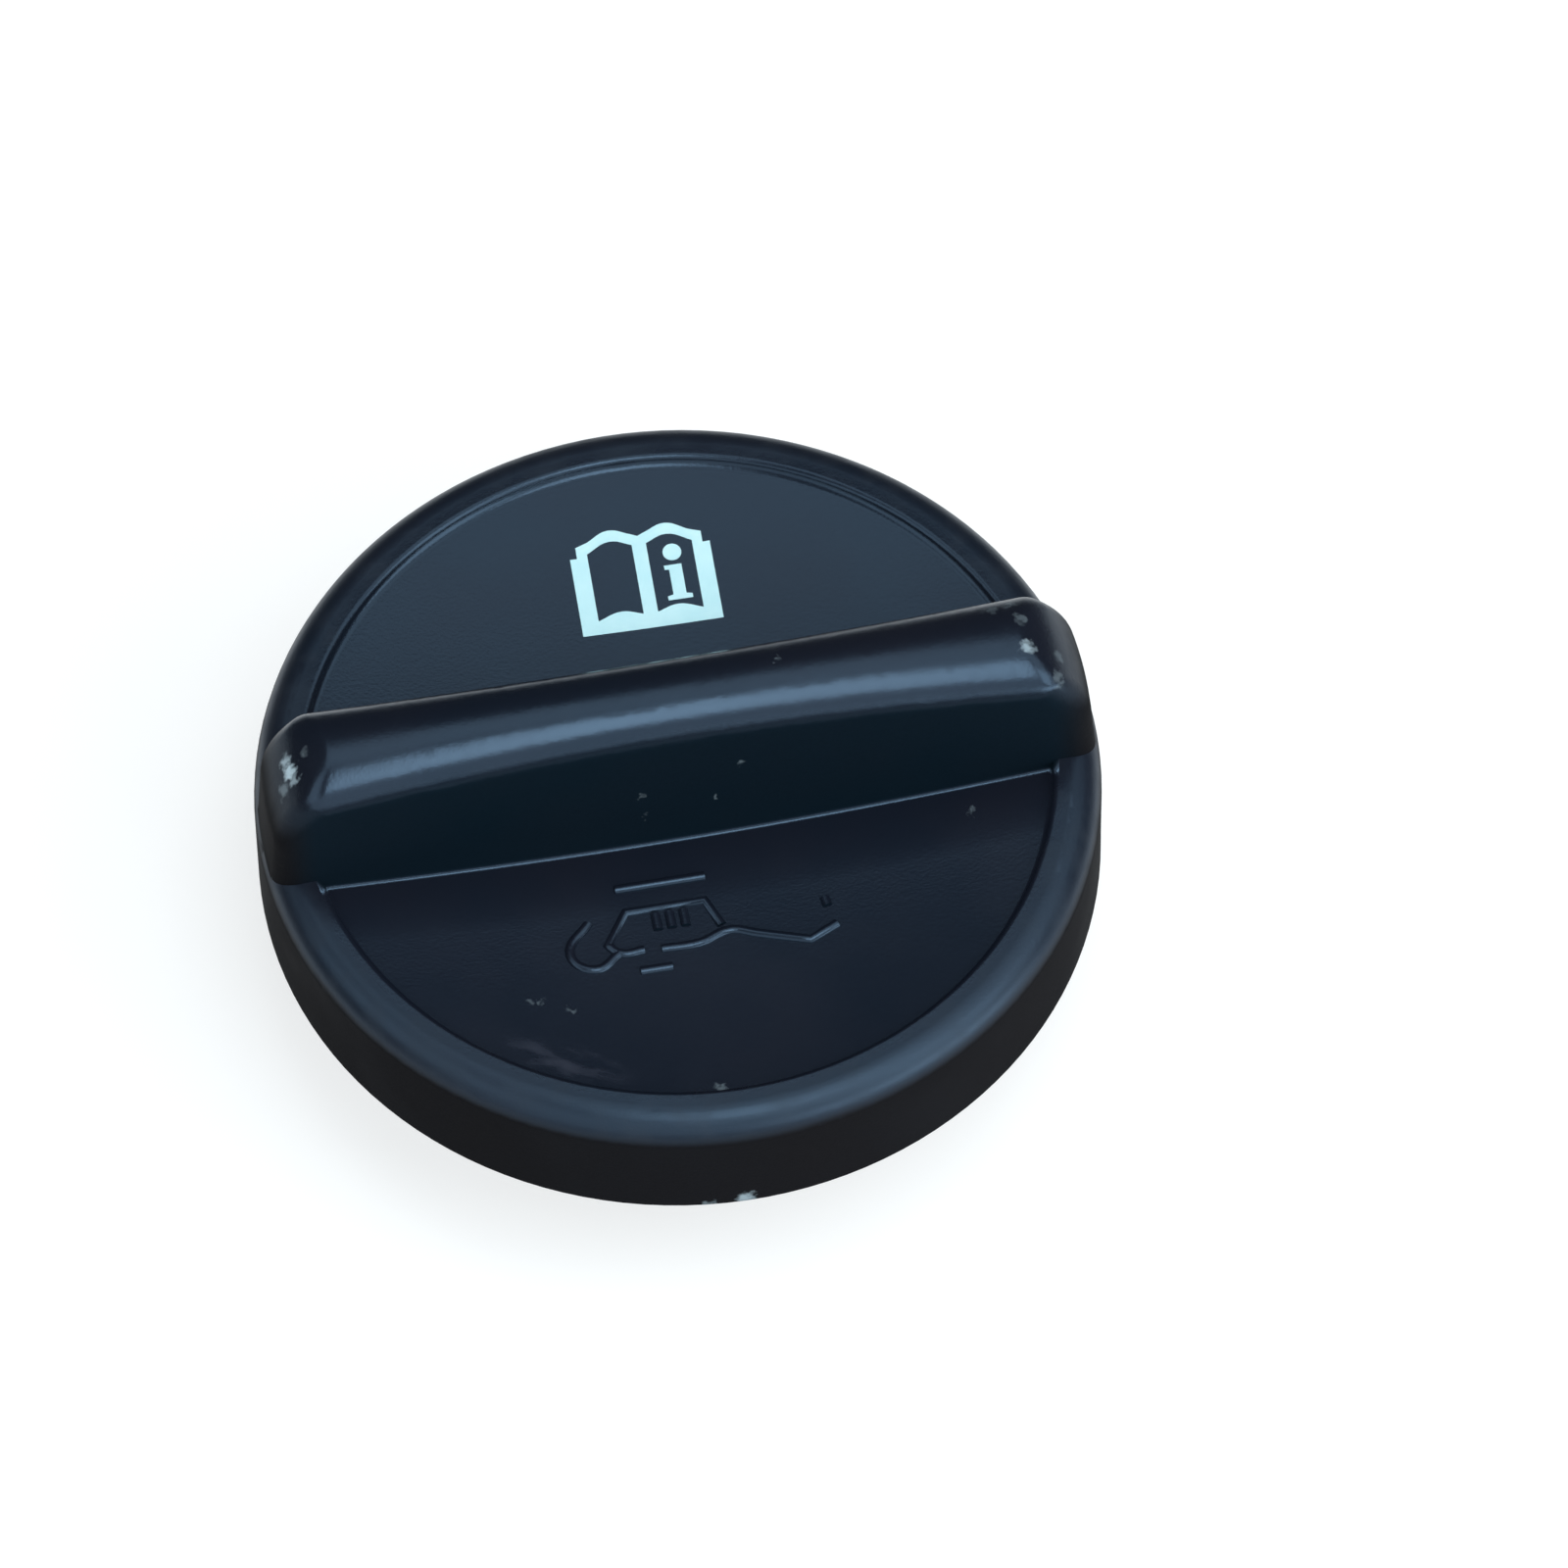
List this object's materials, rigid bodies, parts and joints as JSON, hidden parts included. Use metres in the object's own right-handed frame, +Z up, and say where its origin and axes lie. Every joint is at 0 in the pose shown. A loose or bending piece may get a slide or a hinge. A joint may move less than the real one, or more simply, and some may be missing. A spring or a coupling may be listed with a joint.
{
  "type": "oil filler cap",
  "caption": "Round quarter-turn oil filler cap with a tall full-width grip bar, dished pans, rounded rim, short skirt, rubber face seal and a bayonet stem with ramped lugs.",
  "frame": {"origin": "middle of the stem's lower end, on the turning axis", "axes": "+Z up the turning axis from the stem to the grip, X along the grip bar"},
  "size_m": [0.064, 0.064, 0.0361],
  "materials": {
    "cover_plastic": "fine satin black moulding, blue-grey sheen",
    "plug_plastic": "plain black moulding",
    "seal_rubber": "dull black rubber"
  },
  "bodies": {
    "root": {"cap_cover": "cover_plastic", "bayonet_plug": "plug_plastic", "seal_ring": "seal_rubber"}
  },
  "joints": []
}
